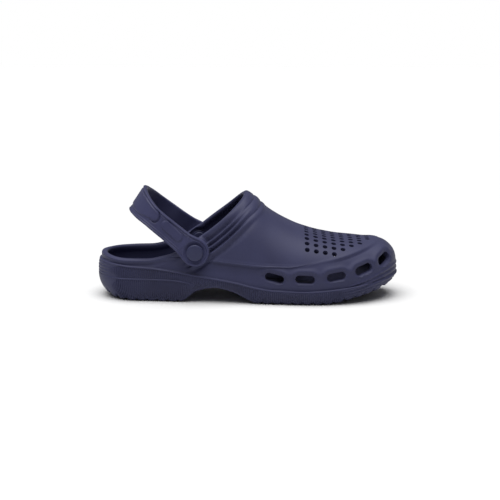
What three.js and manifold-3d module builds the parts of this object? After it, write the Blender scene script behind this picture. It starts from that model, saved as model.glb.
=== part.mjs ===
// Rubber garden clog, right foot. Millimetres, +X to the toe, +Y to the inner side of the foot, +Z up.
// The origin is on the ground, under the middle of the clog's length and width.
import * as THREE from "three";
import { mergeVertices } from "three/addons/utils/BufferGeometryUtils.js";
import Module from "manifold-3d";

const wasm = await Module();
wasm.setup();

// ---- Driving dimensions of the moulded shell ----
const TOE_X = 142.5; // the tip of the toe, and minus that the back of the heel
const HEEL_CENTRE_X = -102; // where the round heel begins
const BALL_X = 58; // the widest place, where the round toe begins
const HEEL_ROUND = 2.2; // exponent of the heel's plan curve, 2 being an ellipse
const TOE_ROUND = 2.15; // exponent of the toe's plan curve
const WALL = 5.5; // thickness of the side walls
const CAVITY = { aboveWidest: 3, aboveFootbed: 5, flatShare: 0.7 }; // how the foot bed turns up

// Stations along the clog: [x, value]. A smooth curve joins them.
const CENTRE_LINE = curve([[-102, 2], [-20, 1.5], [20, 2.5], [58, 5.5]]);
const OUTER_HALF_WIDTH = curve([[-102, 37.5], [-60, 41.3], [-20, 44.5], [20, 50.5], [58, 57]]);
const INNER_HALF_WIDTH = curve([[-102, 36.5], [-60, 39.3], [-20, 42], [20, 45], [58, 46]]);
const WIDEST_Z = curve([[-142.5, 22], [-60, 22], [20, 18], [60, 18], [110, 22], [142.5, 26]]);
// The top of the blank that the opening is cut from.
const RIDGE_Z = curve([
  [-142.5, 58], [-100, 64], [-50, 83], [-14, 97.5], [-3, 99.8], [4, 96.8], [20, 83], [34, 74.3],
  [50, 66.5], [70, 60.5], [90, 57.8], [108, 57.6], [127, 59.8], [142.5, 57.6],
]);
// How square the cross-section is, 2 being an ellipse.
const DOME_POWER = curve([
  [-142.5, 2.4], [-50, 2.3], [-26, 2.5], [0, 2.4], [30, 2.3], [60, 2.6], [100, 3.2], [142.5, 3.8],
]);
const VAMP_WALL = curve([[-20, 3.2], [5, 3.4], [30, 4.6]]); // thickness over the top of the foot
// The edge of the opening, seen from the side.
const COLLAR_Z = curve([
  [-150, 45.7], [-134, 43.6], [-115, 42.1], [-95, 42.2], [-76, 45.9], [-65, 49.9], [-58, 54],
  [-47, 61.6], [-30, 74.4], [-16, 86.2], [-4, 97.8], [16, 118.2],
]);
// How far the edge rises for each millimetre towards the inner side.
const COLLAR_LEAN = curve([[-140, 0], [-120, 0.04], [-52, 0.045], [-34, 0.065], [-4, 0.065]]);
// The sole is flat inside this share of the plan and rounds up outside it.
const EDGE_START = curve([[-142.5, 0.5], [-102, 0.8], [-20, 0.87], [58, 0.88], [100, 0.84], [142.5, 0.74]]);
// The underside: heel, arch, forefoot and the lift of the toe.
const SOLE_Z = curve([
  [-64, 0], [-47, 10.5], [-30, 14], [-15, 11], [2, 3], [10, 0], [72, 0], [105, 5], [125, 8.3], [142.5, 10],
]);
const FOOTBED_Z = curve([[-142.5, 25], [-100, 23], [-30, 28], [20, 22], [58, 19.5], [110, 20], [142.5, 23]]);

// ---- Facets ----
const SHELL_RINGS = 54;
const SHELL_ROWS = 18;
const CAVITY_RINGS = 34;
const CAVITY_ROWS = 14;
const EDGE_CROWDING = 0.8; // below 1, rows are closer together near the outline
const ROUND_SIDES = 32;
const STRAP_STEPS = 48;

// ---- Vents, strap and rivets ----
const VENT = { length: 18, height: 7.6, depth: 30, innerDrop: 2 }; // the inner side's vents are lower
const VENTS = [
  { x: 25.5, z: 25.5, tilt: -13 },
  { x: 53.8, z: 24.7, tilt: -2 },
  { x: 83, z: 27.1, tilt: 9 },
  { x: 109.3, z: 32.4, tilt: 17 },
  { x: 131, z: 39.4, tilt: 21 },
];
const OPENING = { from: -160, to: 14, step: 4, high: 140, width: 160 }; // the block cut away above the collar
const PIVOT = { x: -47.5, y: 0.5, z: 49 }; // the middle of the hinge line, between the two rivets
const GAP = 0.3; // between pieces that touch
// Distances out from PIVOT.y: the flat pads on the shell's outer and inner walls, and what stacks on them.
const PAD = { outerFace: 40.3, outerRadius: 10.5, innerFace: 33.8, innerRadius: 9, root: 30 };
const WASHER = { radius: 9.5, thickness: 1, from: PAD.outerFace + GAP };
const STRAP = { thickness: 4.4, from: WASHER.from + WASHER.thickness + GAP, raised: 41.5 };
const HEAD = { radius: 7.8, thickness: 3, bevel: 0.9, from: STRAP.from + STRAP.thickness + GAP };
const SOCKET = { radius: 7, flange: 1.4, tubeRadius: 5.6, depth: 4, floor: 1.2 };
const STEM = { radius: 4.1, end: PAD.innerFace - GAP - SOCKET.depth + SOCKET.floor + GAP };
const HOLE_RADIUS = STEM.radius + GAP;
// The middle of the strap's thickness from rivet to heel: [distance along the arm, distance out].
const STRAP_ARM = STRAP.from + STRAP.thickness / 2;
const STRAP_LINE = [
  [-16, STRAP_ARM], [-3, STRAP_ARM], [4, STRAP_ARM], [10, STRAP_ARM], [14, STRAP_ARM - 0.5], [21, 41.6],
  [31, 39.4], [42, 38], [52, 34.6], [60, 28], [66.3, 19.2], [70.6, 9.8],
];
const STRAP_APEX = 72.2; // where that line crosses behind the heel
const STRAP_LEAN = { rate: 0.13, from: 6 }; // how the band leans back towards its lower edge
// The strap's side view: distance along the arm, and across it towards the toe.
const STRAP_END = 13.2; // radius round the rivet
const STRAP_UPPER = [[16, 9.7], [32, 8.2], [52, 7.1], [66, 8.2]];
const STRAP_LOWER = [[66, -16.2], [50, -12.7], [32, -11.5], [16, -11.2]];
const STRAP_BLANK = { bandWidth: 60, loopWidth: 120, overcut: 5 };
const STRAP_BACK = { top: [79, 10.2], bottom: [76, -18.6], corner: 5 };

// A curve through [x, value] stations, without overshoot and level at both ends.
function curve(stations) {
  const slope = stations.map(() => 0);
  const rise = (i) => (stations[i + 1][1] - stations[i][1]) / (stations[i + 1][0] - stations[i][0]);
  for (let i = 1; i < stations.length - 1; i++) {
    const [before, after] = [rise(i - 1), rise(i)];
    slope[i] = before * after <= 0 ? 0 : (2 * before * after) / (before + after);
  }
  return (x) => {
    if (x <= stations[0][0]) return stations[0][1];
    let i = 0;
    while (i < stations.length - 1 && x > stations[i + 1][0]) i++;
    if (i === stations.length - 1) return stations[i][1];
    const [[x0, v0], [x1, v1]] = [stations[i], stations[i + 1]];
    const [h, t] = [x1 - x0, (x - x0) / (x1 - x0)];
    const [t2, t3] = [t * t, t * t * t];
    const middle = (3 * t2 - 2 * t3) * (v1 - v0);
    return v0 + middle + (t3 - 2 * t2 + t) * h * slope[i] + (t3 - t2) * h * slope[i + 1];
  };
}

// ---- The shell's plan ----
// How far x is into the round heel or toe, from 0 to 1 at the tip, of a plan taken in by inset.
function endShare(x, inset) {
  if (x > BALL_X) return (x - BALL_X) / (TOE_X - inset - BALL_X);
  if (x < HEEL_CENTRE_X) return (HEEL_CENTRE_X - x) / (TOE_X - inset + HEEL_CENTRE_X);
  return 0;
}

const roundness = (x) => (x > 0 ? TOE_ROUND : HEEL_ROUND);

// Half the width on one side at x: side -1 is the outer side of the foot and 1 the inner side.
function sideWidth(x, side, inset) {
  const station = THREE.MathUtils.clamp(x, HEEL_CENTRE_X, BALL_X);
  return (side < 0 ? OUTER_HALF_WIDTH(station) : INNER_HALF_WIDTH(station)) - inset;
}

// A point's distance from the centre line as a share of the plan's: 0 on the line and 1 on the outline.
function share(x, y, inset) {
  const across = Math.abs(y - CENTRE_LINE(x)) / sideWidth(x, Math.sign(y - CENTRE_LINE(x)), inset);
  const p = roundness(x);
  return Math.min(1, (endShare(x, inset) ** p + across ** p) ** (1 / p));
}

// The y of the outline at x.
function outlineY(x, side, inset) {
  const p = roundness(x);
  const across = Math.max(0, 1 - Math.min(1, endShare(x, inset)) ** p) ** (1 / p);
  return CENTRE_LINE(x) + side * sideWidth(x, side, inset) * across;
}

// ---- The shell's heights ----
const domeShape = (r, n) => Math.max(0, 1 - r ** n) ** (1 / n);

function outerTop(x, y) {
  const r = share(x, y, 0);
  return WIDEST_Z(x) + (RIDGE_Z(x) - WIDEST_Z(x)) * domeShape(r, DOME_POWER(x));
}

// A level floor that turns up in a quarter of an ellipse, from the share start to the outline.
function quarterRound(r, start, floor, edge) {
  const t = Math.max(0, (r - start) / (1 - start));
  return floor + (edge - floor) * (1 - Math.sqrt(Math.max(0, 1 - t * t)));
}

function outerBottom(x, y) {
  return quarterRound(share(x, y, 0), EDGE_START(x), SOLE_Z(x), WIDEST_Z(x));
}

const cavityEdgeZ = (x) => Math.max(WIDEST_Z(x) + CAVITY.aboveWidest, FOOTBED_Z(x) + CAVITY.aboveFootbed);

function cavityTop(x, y) {
  const slope = (RIDGE_Z(x + 1) - RIDGE_Z(x - 1)) / 2;
  const ridge = RIDGE_Z(x) - VAMP_WALL(x) * Math.hypot(1, slope);
  const edge = cavityEdgeZ(x);
  return edge + (ridge - edge) * domeShape(share(x, y, WALL), DOME_POWER(x));
}

function cavityBottom(x, y) {
  return quarterRound(share(x, y, WALL), CAVITY.flatShare, FOOTBED_Z(x), cavityEdgeZ(x));
}

// ---- Solids ----
function toSolid(geometry) {
  const bare = geometry.index ? geometry.toNonIndexed() : geometry.clone();
  for (const name of Object.keys(bare.attributes)) {
    if (name !== "position") bare.deleteAttribute(name);
  }
  const merged = mergeVertices(bare, 1e-4);
  const vertProperties = new Float32Array(merged.attributes.position.array);
  const triVerts = new Uint32Array(merged.index.array);
  return new wasm.Manifold(new wasm.Mesh({ numProp: 3, vertProperties, triVerts }));
}

function toGeometry(solid) {
  const mesh = solid.getMesh();
  const geometry = new THREE.BufferGeometry();
  geometry.setAttribute("position", new THREE.BufferAttribute(mesh.vertProperties, mesh.numProp));
  geometry.setIndex(new THREE.BufferAttribute(mesh.triVerts, 1));
  geometry.computeVertexNormals();
  return geometry;
}

// The closed body between two height functions over the clog's plan, as rings from heel to toe.
function pillow(top, bottom, inset, rings, across) {
  const points = [];
  const faces = [];
  const tip = TOE_X - inset;
  const ringSize = 2 * across;
  const addTip = (x) => points.push(x, CENTRE_LINE(x), top(x, CENTRE_LINE(x)));
  addTip(-tip);
  for (let i = 1; i < rings; i++) {
    const x = -tip * Math.cos((Math.PI * i) / rings);
    for (let k = 0; k < ringSize; k++) {
      const turn = -Math.cos((Math.PI * k) / across);
      const side = turn < 0 ? -1 : 1;
      const reach = outlineY(x, side, inset) - CENTRE_LINE(x);
      const y = CENTRE_LINE(x) + reach * Math.abs(turn) ** EDGE_CROWDING;
      points.push(x, y, k <= across ? top(x, y) : bottom(x, y));
    }
  }
  const last = points.length / 3;
  addTip(tip);
  const at = (i, k) => 1 + (i - 1) * ringSize + (k % ringSize);
  for (let k = 0; k < ringSize; k++) {
    faces.push(0, at(1, k), at(1, k + 1));
    faces.push(last, at(rings - 1, k + 1), at(rings - 1, k));
    for (let i = 1; i < rings - 1; i++) {
      faces.push(at(i, k), at(i + 1, k), at(i + 1, k + 1));
      faces.push(at(i, k), at(i + 1, k + 1), at(i, k + 1));
    }
  }
  const geometry = new THREE.BufferGeometry();
  geometry.setAttribute("position", new THREE.BufferAttribute(new Float32Array(points), 3));
  geometry.setIndex(faces);
  return toSolid(geometry);
}

// A flat shape drawn in X and Z, given depth along Y.
function slabAlongY(shape, depth) {
  const slab = new THREE.ExtrudeGeometry(shape, { depth, bevelEnabled: false, curveSegments: 8 });
  slab.rotateX(Math.PI / 2);
  slab.translate(0, depth / 2, 0);
  return slab;
}

// A round bar on the hinge line between two distances out from PIVOT.y, on one side of the foot.
function barOut(side, radius, from, to) {
  const bar = new THREE.CylinderGeometry(radius, radius, to - from, ROUND_SIDES);
  bar.translate(PIVOT.x, PIVOT.y + (side * (from + to)) / 2, PIVOT.z);
  return toSolid(bar);
}

// ---- The shell ----
// Everything above the collar's edge, which is higher on the inner side of the foot.
function openingCut() {
  const { from, to, step, high, width } = OPENING;
  const shape = new THREE.Shape();
  shape.moveTo(from, high);
  for (let x = from; x <= to; x += step) {
    shape.lineTo(x, COLLAR_Z(x));
  }
  shape.lineTo(to, high);
  const slab = slabAlongY(shape, width);
  const points = slab.attributes.position;
  for (let i = 0; i < points.count; i++) {
    points.setZ(i, points.getZ(i) + COLLAR_LEAN(points.getX(i)) * points.getY(i));
  }
  return toSolid(slab);
}

// One air vent: a slot with round ends, cut square to the wall.
function ventCut(vent, side) {
  const radius = VENT.height / 2;
  const half = (VENT.length - VENT.height) / 2;
  const shape = new THREE.Shape();
  shape.absarc(half, 0, radius, -Math.PI / 2, Math.PI / 2);
  shape.absarc(-half, 0, radius, Math.PI / 2, (3 * Math.PI) / 2);
  const slot = new THREE.ExtrudeGeometry(shape, { depth: VENT.depth, bevelEnabled: false, curveSegments: 6 });
  slot.translate(0, 0, -VENT.depth / 2);
  slot.rotateZ(THREE.MathUtils.degToRad(vent.tilt));
  slot.rotateX(Math.PI / 2);
  const ahead = outlineY(vent.x + 1, side, 0) - outlineY(vent.x - 1, side, 0);
  slot.rotateZ(Math.atan(ahead / 2));
  const drop = side > 0 ? VENT.innerDrop : 0;
  slot.translate(vent.x, outlineY(vent.x, side, 0), vent.z - drop);
  return toSolid(slot);
}

function shell() {
  let body = pillow(outerTop, outerBottom, 0, SHELL_RINGS, SHELL_ROWS);
  let cavity = pillow(cavityTop, cavityBottom, WALL, CAVITY_RINGS, CAVITY_ROWS);
  for (const side of [-1, 1]) {
    body = body.add(barOut(side, PAD.outerRadius, PAD.root, PAD.outerFace));
    cavity = cavity.subtract(barOut(side, PAD.innerRadius, PAD.innerFace, PAD.outerFace));
    cavity = cavity.add(barOut(side, PAD.innerRadius, PAD.root, PAD.innerFace));
  }
  body = body.subtract(cavity).subtract(openingCut());
  for (const side of [-1, 1]) {
    body = body.subtract(barOut(side, HOLE_RADIUS, PAD.root, WASHER.from));
    for (const vent of VENTS) {
      body = body.subtract(ventCut(vent, side));
    }
  }
  return toGeometry(body);
}

// ---- The heel strap and its rivets ----
// The band seen along its width: the strap's line, thickened to both sides.
function strapPlan() {
  const side = STRAP_LINE.map(([along, out]) => new THREE.Vector2(along, out));
  const mirrored = side.map((point) => new THREE.Vector2(point.x, -point.y)).reverse();
  const line = new THREE.SplineCurve([...side, new THREE.Vector2(STRAP_APEX, 0), ...mirrored]);
  const edge = (offset) =>
    Array.from({ length: STRAP_STEPS + 1 }, (_, i) => {
      const tangent = line.getTangent(i / STRAP_STEPS);
      const point = line.getPoint(i / STRAP_STEPS);
      return new THREE.Vector2(point.x - tangent.y * offset, point.y + tangent.x * offset);
    });
  return new THREE.Shape([...edge(STRAP.thickness / 2), ...edge(-STRAP.thickness / 2).reverse()]);
}

// The band seen from the side: round at the rivet, widening to the heel.
function strapSide() {
  const towards = (from, to, distance) => {
    const start = new THREE.Vector2(...from);
    const step = new THREE.Vector2(...to).sub(start);
    return start.add(step.setLength(distance));
  };
  const { top, bottom, corner } = STRAP_BACK;
  const shape = new THREE.Shape();
  shape.absarc(0, 0, STRAP_END, Math.PI / 2, (3 * Math.PI) / 2);
  shape.splineThru([...STRAP_LOWER].reverse().map((point) => new THREE.Vector2(...point)));
  const lowerTurn = towards(bottom, STRAP_LOWER[0], corner);
  const backLow = towards(bottom, top, corner);
  const backHigh = towards(top, bottom, corner);
  const upperTurn = towards(top, STRAP_UPPER.at(-1), corner);
  shape.lineTo(lowerTurn.x, lowerTurn.y);
  shape.quadraticCurveTo(...bottom, backLow.x, backLow.y);
  shape.lineTo(backHigh.x, backHigh.y);
  shape.quadraticCurveTo(...top, upperTurn.x, upperTurn.y);
  const upper = [...STRAP_UPPER].reverse().map((point) => new THREE.Vector2(...point));
  shape.splineThru([...upper, new THREE.Vector2(0, STRAP_END)]);
  return shape;
}

function strap() {
  const { bandWidth, loopWidth, overcut } = STRAP_BLANK;
  const band = new THREE.ExtrudeGeometry(strapPlan(), { depth: bandWidth, bevelEnabled: false });
  band.translate(0, 0, -bandWidth / 2 - STRAP_LEAN.from);
  band.applyMatrix4(new THREE.Matrix4().makeShear(0, 0, 0, 0, STRAP_LEAN.rate, 0));
  band.translate(0, 0, STRAP_LEAN.from);
  const geometry = toGeometry(toSolid(band).intersect(toSolid(slabAlongY(strapSide(), loopWidth))));
  // So far the arm runs along X with its side to the toe up: turn it to the heel and raise it.
  const raised = THREE.MathUtils.degToRad(STRAP.raised);
  const alongArm = new THREE.Vector3(-Math.cos(raised), 0, Math.sin(raised));
  const acrossArm = new THREE.Vector3(Math.sin(raised), 0, Math.cos(raised));
  const outOfArm = new THREE.Vector3(0, -1, 0);
  geometry.applyMatrix4(new THREE.Matrix4().makeBasis(alongArm, outOfArm, acrossArm));
  geometry.translate(PIVOT.x, PIVOT.y, PIVOT.z);
  let body = toSolid(geometry);
  for (const side of [-1, 1]) {
    body = body.subtract(barOut(side, HOLE_RADIUS, STRAP.from - overcut, HEAD.from + overcut));
  }
  return toGeometry(body);
}

// A turned piece on the hinge line: its profile is [radius, distance out from PIVOT.y] points.
function turnedOut(side, profile) {
  const points = profile.map(([radius, out]) => new THREE.Vector2(radius, out));
  const turned = new THREE.LatheGeometry(points, ROUND_SIDES);
  if (side < 0) turned.rotateX(Math.PI);
  turned.translate(PIVOT.x, PIVOT.y, PIVOT.z);
  return toGeometry(toSolid(turned));
}

function rivet(side) {
  const face = HEAD.from + HEAD.thickness;
  return turnedOut(side, [
    [0, STEM.end],
    [STEM.radius, STEM.end],
    [STEM.radius, HEAD.from],
    [HEAD.radius, HEAD.from],
    [HEAD.radius, face - HEAD.bevel],
    [HEAD.radius - HEAD.bevel, face],
    [0, face],
  ]);
}

function rivetSocket(side) {
  const face = PAD.innerFace - GAP;
  const back = face - SOCKET.depth;
  return turnedOut(side, [
    [0, back],
    [SOCKET.tubeRadius, back],
    [SOCKET.tubeRadius, face - SOCKET.flange],
    [SOCKET.radius, face - SOCKET.flange],
    [SOCKET.radius, face],
    [HOLE_RADIUS, face],
    [HOLE_RADIUS, back + SOCKET.floor],
    [0, back + SOCKET.floor],
  ]);
}

function pivotWasher(side) {
  const face = WASHER.from + WASHER.thickness;
  return turnedOut(side, [
    [HOLE_RADIUS, WASHER.from],
    [WASHER.radius, WASHER.from],
    [WASHER.radius, face],
    [HOLE_RADIUS, face],
    [HOLE_RADIUS, WASHER.from],
  ]);
}

// ---- Assembly ----
const rubber = new THREE.MeshStandardMaterial({ color: 0x2c2f4e, roughness: 0.62, metalness: 0 });
const plastic = new THREE.MeshStandardMaterial({ color: 0x2a2d4a, roughness: 0.45, metalness: 0 });
const nylon = new THREE.MeshStandardMaterial({ color: 0x1d2036, roughness: 0.5, metalness: 0 });
const clog = new THREE.Group();

function addPiece(name, geometry, material) {
  const piece = new THREE.Mesh(geometry, material);
  piece.name = name;
  clog.add(piece);
}

addPiece("clog_shell", shell(), rubber);
addPiece("heel_strap", strap(), rubber);
for (const [sideName, side] of [["outer", -1], ["inner", 1]]) {
  addPiece(`${sideName}_rivet`, rivet(side), plastic);
  addPiece(`${sideName}_rivet_socket`, rivetSocket(side), plastic);
  addPiece(`${sideName}_pivot_washer`, pivotWasher(side), nylon);
}

export default clog;
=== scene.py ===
import math

import bpy
import numpy as np
from mathutils import Matrix, Vector
from mathutils.kdtree import KDTree


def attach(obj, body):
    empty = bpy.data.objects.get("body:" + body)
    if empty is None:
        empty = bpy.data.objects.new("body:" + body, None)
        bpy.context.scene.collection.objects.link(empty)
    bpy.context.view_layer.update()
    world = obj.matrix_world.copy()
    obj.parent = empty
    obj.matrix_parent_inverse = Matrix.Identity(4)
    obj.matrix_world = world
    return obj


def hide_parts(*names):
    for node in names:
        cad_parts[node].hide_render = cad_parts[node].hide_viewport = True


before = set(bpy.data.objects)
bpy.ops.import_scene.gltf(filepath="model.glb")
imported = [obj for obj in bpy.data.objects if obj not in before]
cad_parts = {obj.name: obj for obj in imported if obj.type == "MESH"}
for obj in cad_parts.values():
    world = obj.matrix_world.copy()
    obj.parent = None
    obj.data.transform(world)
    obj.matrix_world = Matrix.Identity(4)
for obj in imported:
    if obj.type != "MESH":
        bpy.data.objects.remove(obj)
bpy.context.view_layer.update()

# Shapes are worked out in millimetres, +X to the toe, +Y to the inner side of the foot, +Z up,
# and become metres when their mesh is made.
MM = 0.001

# ---- The clog's lines: [x, value] stations that a smooth curve joins ----


def curve(*stations):
    """A curve through the stations, without overshoot and level at both ends."""
    xs, vs = np.array(stations, float).T
    rise = np.diff(vs) / np.diff(xs)
    slope = np.zeros(len(xs))
    before, after = rise[:-1], rise[1:]
    turning = before * after <= 0
    total = np.where(turning, 1, before + after)
    slope[1:-1] = np.where(turning, 0, 2 * before * after / total)

    def value(x):
        x = np.clip(x, xs[0], xs[-1])
        i = np.clip(np.searchsorted(xs, x, side="right") - 1, 0, len(xs) - 2)
        h = xs[i + 1] - xs[i]
        t = (x - xs[i]) / h
        middle = (3 * t**2 - 2 * t**3) * (vs[i + 1] - vs[i])
        return vs[i] + middle + (t**3 - 2 * t**2 + t) * h * slope[i] + (t**3 - t**2) * h * slope[i + 1]

    return value


def ease(low, high, value):
    """0 below low, 1 above high and smooth between them."""
    t = np.clip((value - low) / (high - low), 0, 1)
    return t * t * (3 - 2 * t)


def bump(centre, width, value):
    """A rounded ridge, 1 high at the centre."""
    return np.exp(-(((value - centre) / width) ** 2))


TIP = 142.5
HEEL_CENTRE, BALL = -102.0, 58.0
HEEL_ROUND, TOE_ROUND = 2.2, 2.15  # how square the ends of the plan are: 2 is an ellipse
WALL = 5.5
centre_line = curve((-102, 2), (-20, 1.5), (20, 2.5), (58, 5.5))
outer_half = curve((-102, 37.5), (-60, 41.3), (-20, 44.5), (20, 50.5), (58, 57))
inner_half = curve((-102, 36.5), (-60, 39.3), (-20, 42), (20, 45), (58, 46))
widest_z = curve((-142.5, 22), (-60, 22), (20, 18), (60, 18), (110, 22), (142.5, 26))
ridge_z = curve(
    (-142.5, 58), (-100, 64), (-50, 83), (-14, 97.5), (-3, 99.8), (4, 96.8), (20, 83),
    (34, 74.3), (50, 66.5), (70, 60.5), (90, 57.8), (108, 57.6), (127, 59.8), (142.5, 57.6),
)
dome_power = curve(
    (-142.5, 2.4), (-50, 2.3), (-26, 2.5), (0, 2.4), (30, 2.3), (60, 2.6), (100, 3.2), (142.5, 3.8)
)
vamp_wall = curve((-20, 3.2), (5, 3.4), (30, 4.6))
collar_z = curve(
    (-150, 45.7), (-134, 43.6), (-115, 42.1), (-95, 42.2), (-76, 45.9), (-65, 49.9), (-58, 54),
    (-47, 61.6), (-30, 74.4), (-16, 86.2), (-4, 97.8), (16, 118.2),
)
collar_lean = curve((-140, 0), (-120, 0.04), (-52, 0.045), (-34, 0.065), (-4, 0.065))
edge_start = curve((-142.5, 0.5), (-102, 0.8), (-20, 0.87), (58, 0.88), (100, 0.84), (142.5, 0.74))
sole_z = curve(
    (-64, 0), (-47, 10.5), (-30, 14), (-15, 11), (2, 3), (10, 0), (72, 0), (105, 5),
    (125, 8.3), (142.5, 10),
)
footbed_z = curve((-142.5, 25), (-100, 23), (-30, 28), (20, 22), (58, 19.5), (110, 20), (142.5, 23))

PIVOT = np.array([-47.5, 0.5, 49.0])
PAD_FACE, SOCKET_SEAT = 40.25, 33.8  # how far out the shell is flat round a rivet, outside and inside
STEM_HOLE = 4.4  # radius


# ---- The clog's plan and heights ----
def end_share(x, inset):
    """How far x is into the round of the heel or the toe: 0 where it starts and 1 at the tip."""
    toe = (x - BALL) / (TIP - inset - BALL)
    heel = (HEEL_CENTRE - x) / (TIP - inset + HEEL_CENTRE)
    return np.maximum(0, np.maximum(toe, heel))


def roundness(x):
    return np.where(x > 0, TOE_ROUND, HEEL_ROUND)


def half_width(x, side, inset):
    station = np.clip(x, HEEL_CENTRE, BALL)
    return np.where(side < 0, outer_half(station), inner_half(station)) - inset


def share(x, y, inset):
    """0 on the centre line and 1 on the outline."""
    off = y - centre_line(x)
    across = np.abs(off) / half_width(x, np.sign(off), inset)
    p = roundness(x)
    return np.minimum(1, (end_share(x, inset) ** p + across**p) ** (1 / p))


def outline_y(x, side, inset):
    p = roundness(x)
    across = np.maximum(0, 1 - np.minimum(1, end_share(x, inset)) ** p) ** (1 / p)
    return centre_line(x) + side * half_width(x, side, inset) * across


def dome(r, n):
    """A roof that is 1 high in the middle and 0 at r = 1, and squarer for a larger n."""
    return np.maximum(0, 1 - r**n) ** (1 / n)


def outer_top(x, y):
    return widest_z(x) + (ridge_z(x) - widest_z(x)) * dome(share(x, y, 0), dome_power(x))


def quarter_round(r, start, floor, edge):
    """A floor that is flat out to the start and then rounds up to the edge."""
    t = np.maximum(0, (r - start) / (1 - start))
    return floor + (edge - floor) * (1 - np.sqrt(np.maximum(0, 1 - t * t)))


def outer_bottom(x, y):
    return quarter_round(share(x, y, 0), edge_start(x), sole_z(x), widest_z(x))


def cavity_edge(x):
    return np.maximum(widest_z(x) + 3, footbed_z(x) + 5)


def cavity_ridge(x):
    slope = (ridge_z(x + 1) - ridge_z(x - 1)) / 2
    return ridge_z(x) - vamp_wall(x) * np.hypot(1, slope)


def cavity_top(x, y):
    edge = cavity_edge(x)
    return edge + (cavity_ridge(x) - edge) * dome(share(x, y, WALL), dome_power(x))


def cavity_bottom(x, y):
    return quarter_round(share(x, y, WALL), 0.7, footbed_z(x), cavity_edge(x))


# ---- Lines on the clog ----
def lengths(points):
    steps = np.linalg.norm(np.diff(points, axis=0), axis=1)
    return np.concatenate([[0], np.cumsum(steps)])


def along(points, distances):
    """The points at these distances along a line."""
    at = lengths(points)
    return np.stack([np.interp(distances, at, points[:, k]) for k in range(points.shape[1])], 1)


def outline(side, inset):
    tip = TIP - inset
    x = -tip * np.cos(np.linspace(0, math.pi, 4000))
    return np.stack([x, outline_y(x, side, inset)], 1)


def root(function, low, high):
    """Where a falling or rising function crosses zero."""
    for _ in range(60):
        middle = (low + high) / 2
        if function(low) * function(middle) <= 0:
            high = middle
        else:
            low = middle
    return (low + high) / 2


def collar_edge(side, ridge, floor, inset):
    """The edge of the opening on the outer or the inner skin, from the back of the heel to its top."""

    def needed(x, y):
        lift = (collar_z(x) + collar_lean(x) * y - floor(x)) / (ridge(x) - floor(x))
        power = dome_power(x)
        return np.maximum(0, 1 - np.clip(lift, 0, 1) ** power) ** (1 / power)

    def height_left(x):
        return ridge(x) - collar_z(x) - collar_lean(x) * centre_line(x)

    back = root(lambda x: needed(x, 0.0) - end_share(x, inset), -TIP + inset, -110.0)
    front = root(height_left, -20.0, 10.0)
    x = (back + front) / 2 - (front - back) / 2 * np.cos(np.linspace(0, math.pi, 3000))
    y = centre_line(x)
    p = roundness(x)
    # The edge leans, so its height and its place settle together.
    for _ in range(12):
        across = np.maximum(0, needed(x, y) ** p - end_share(x, inset) ** p) ** (1 / p)
        y = centre_line(x) + side * half_width(x, side, inset) * across
    y[[0, -1]] = centre_line(x[[0, -1]])
    return np.stack([x, y, collar_z(x) + collar_lean(x) * y], 1)


# ---- The shell's skin: columns that run from under the sole, up the wall, over the rim and inside ----
COLUMNS = 200  # on each side
ROWS = {"sole": 58, "wall": 112, "rim": 10, "roof": 20, "footbed": 18}
# Where a column that starts at x on the outline reaches the opening's edge.
GUIDES = [(-100, -100), (-69, -76), (-35, -58), (-8, -47), (22, -30), (68, -10), (105, -3.4)]
GUIDE_BLUR = 9  # columns on each side over which the guides are smoothed
ROLL = {"outside": 2.4, "inside": 6.5, "stretch": 1.05}  # how far the rim's round reaches down each skin
SPINE = (-95, 80)  # the columns of both sides meet on the centre line between these ends


def crowded(density, count, first, last):
    """Distances from first to last, closer together where the density is high."""
    s = np.linspace(first, last, 400)
    filled = np.concatenate([[0], np.cumsum((density(s)[1:] + density(s)[:-1]) / 2)])
    return np.interp(np.linspace(0, filled[-1], count), filled, s)


def matched_shares(outer, outer_edge):
    """For each column, how far round the opening's edge it arrives, from 0 at the heel to 1."""
    at, edge_at = lengths(outer), lengths(outer_edge)
    known = [(0, 0)]
    for x, reached in GUIDES:
        start = np.interp(x, outer[:, 0], at) / at[-1]
        known.append((start, np.interp(reached, outer_edge[:, 0], edge_at) / edge_at[-1]))
    known.append((1, 1))
    matched = np.interp(np.linspace(0, 1, COLUMNS + 1), *np.array(known).T)
    padded = np.pad(matched, GUIDE_BLUR, mode="reflect", reflect_type="odd")
    window = 2 * GUIDE_BLUR + 1
    soft = np.convolve(padded, np.ones(window) / window, "valid")
    soft[[0, -1]] = 0, 1
    return soft


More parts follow.
